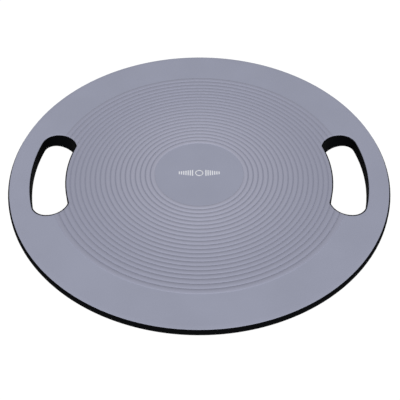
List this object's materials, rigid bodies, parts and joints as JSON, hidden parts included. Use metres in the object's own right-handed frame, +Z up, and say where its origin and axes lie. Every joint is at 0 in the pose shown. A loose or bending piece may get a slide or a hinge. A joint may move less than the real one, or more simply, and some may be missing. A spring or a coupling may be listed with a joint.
{
  "type": "balance board",
  "caption": "Round balance board with a ridged soft mat, curved hand holes and a shallow bowl that rocks on a central dome.",
  "frame": {"origin": "on the floor under the middle of the dome, with the board level", "axes": "+Z up out of the deck, X through the two hand holes, Y across them"},
  "size_m": [0.397, 0.397, 0.075],
  "materials": {
    "mat": "matte blue-grey moulded thermoplastic elastomer",
    "deck": "black moulded polypropylene, fine texture",
    "bowl": "black moulded polypropylene, fine texture",
    "dome": "black moulded polypropylene, satin",
    "sole": "dark grey soft elastomer, matte",
    "screws": "black zinc-plated steel"
  },
  "bodies": {
    "root": {"anti_slip_pad": "mat", "deck_plate": "deck", "base_shell": "bowl", "rocker_dome": "dome", "dome_sole": "sole", "rim_screw_1": "screws", "rim_screw_2": "screws", "rim_screw_3": "screws", "rim_screw_4": "screws", "rim_screw_5": "screws", "rim_screw_6": "screws", "rim_screw_7": "screws", "rim_screw_8": "screws", "rim_screw_9": "screws", "rim_screw_10": "screws", "tower_screw_1": "screws", "tower_screw_2": "screws", "tower_screw_3": "screws", "tower_screw_4": "screws", "tower_screw_5": "screws", "tower_screw_6": "screws", "dome_screw_1": "screws", "dome_screw_2": "screws", "dome_screw_3": "screws", "dome_screw_4": "screws", "dome_screw_5": "screws", "dome_screw_6": "screws"}
  },
  "joints": []
}
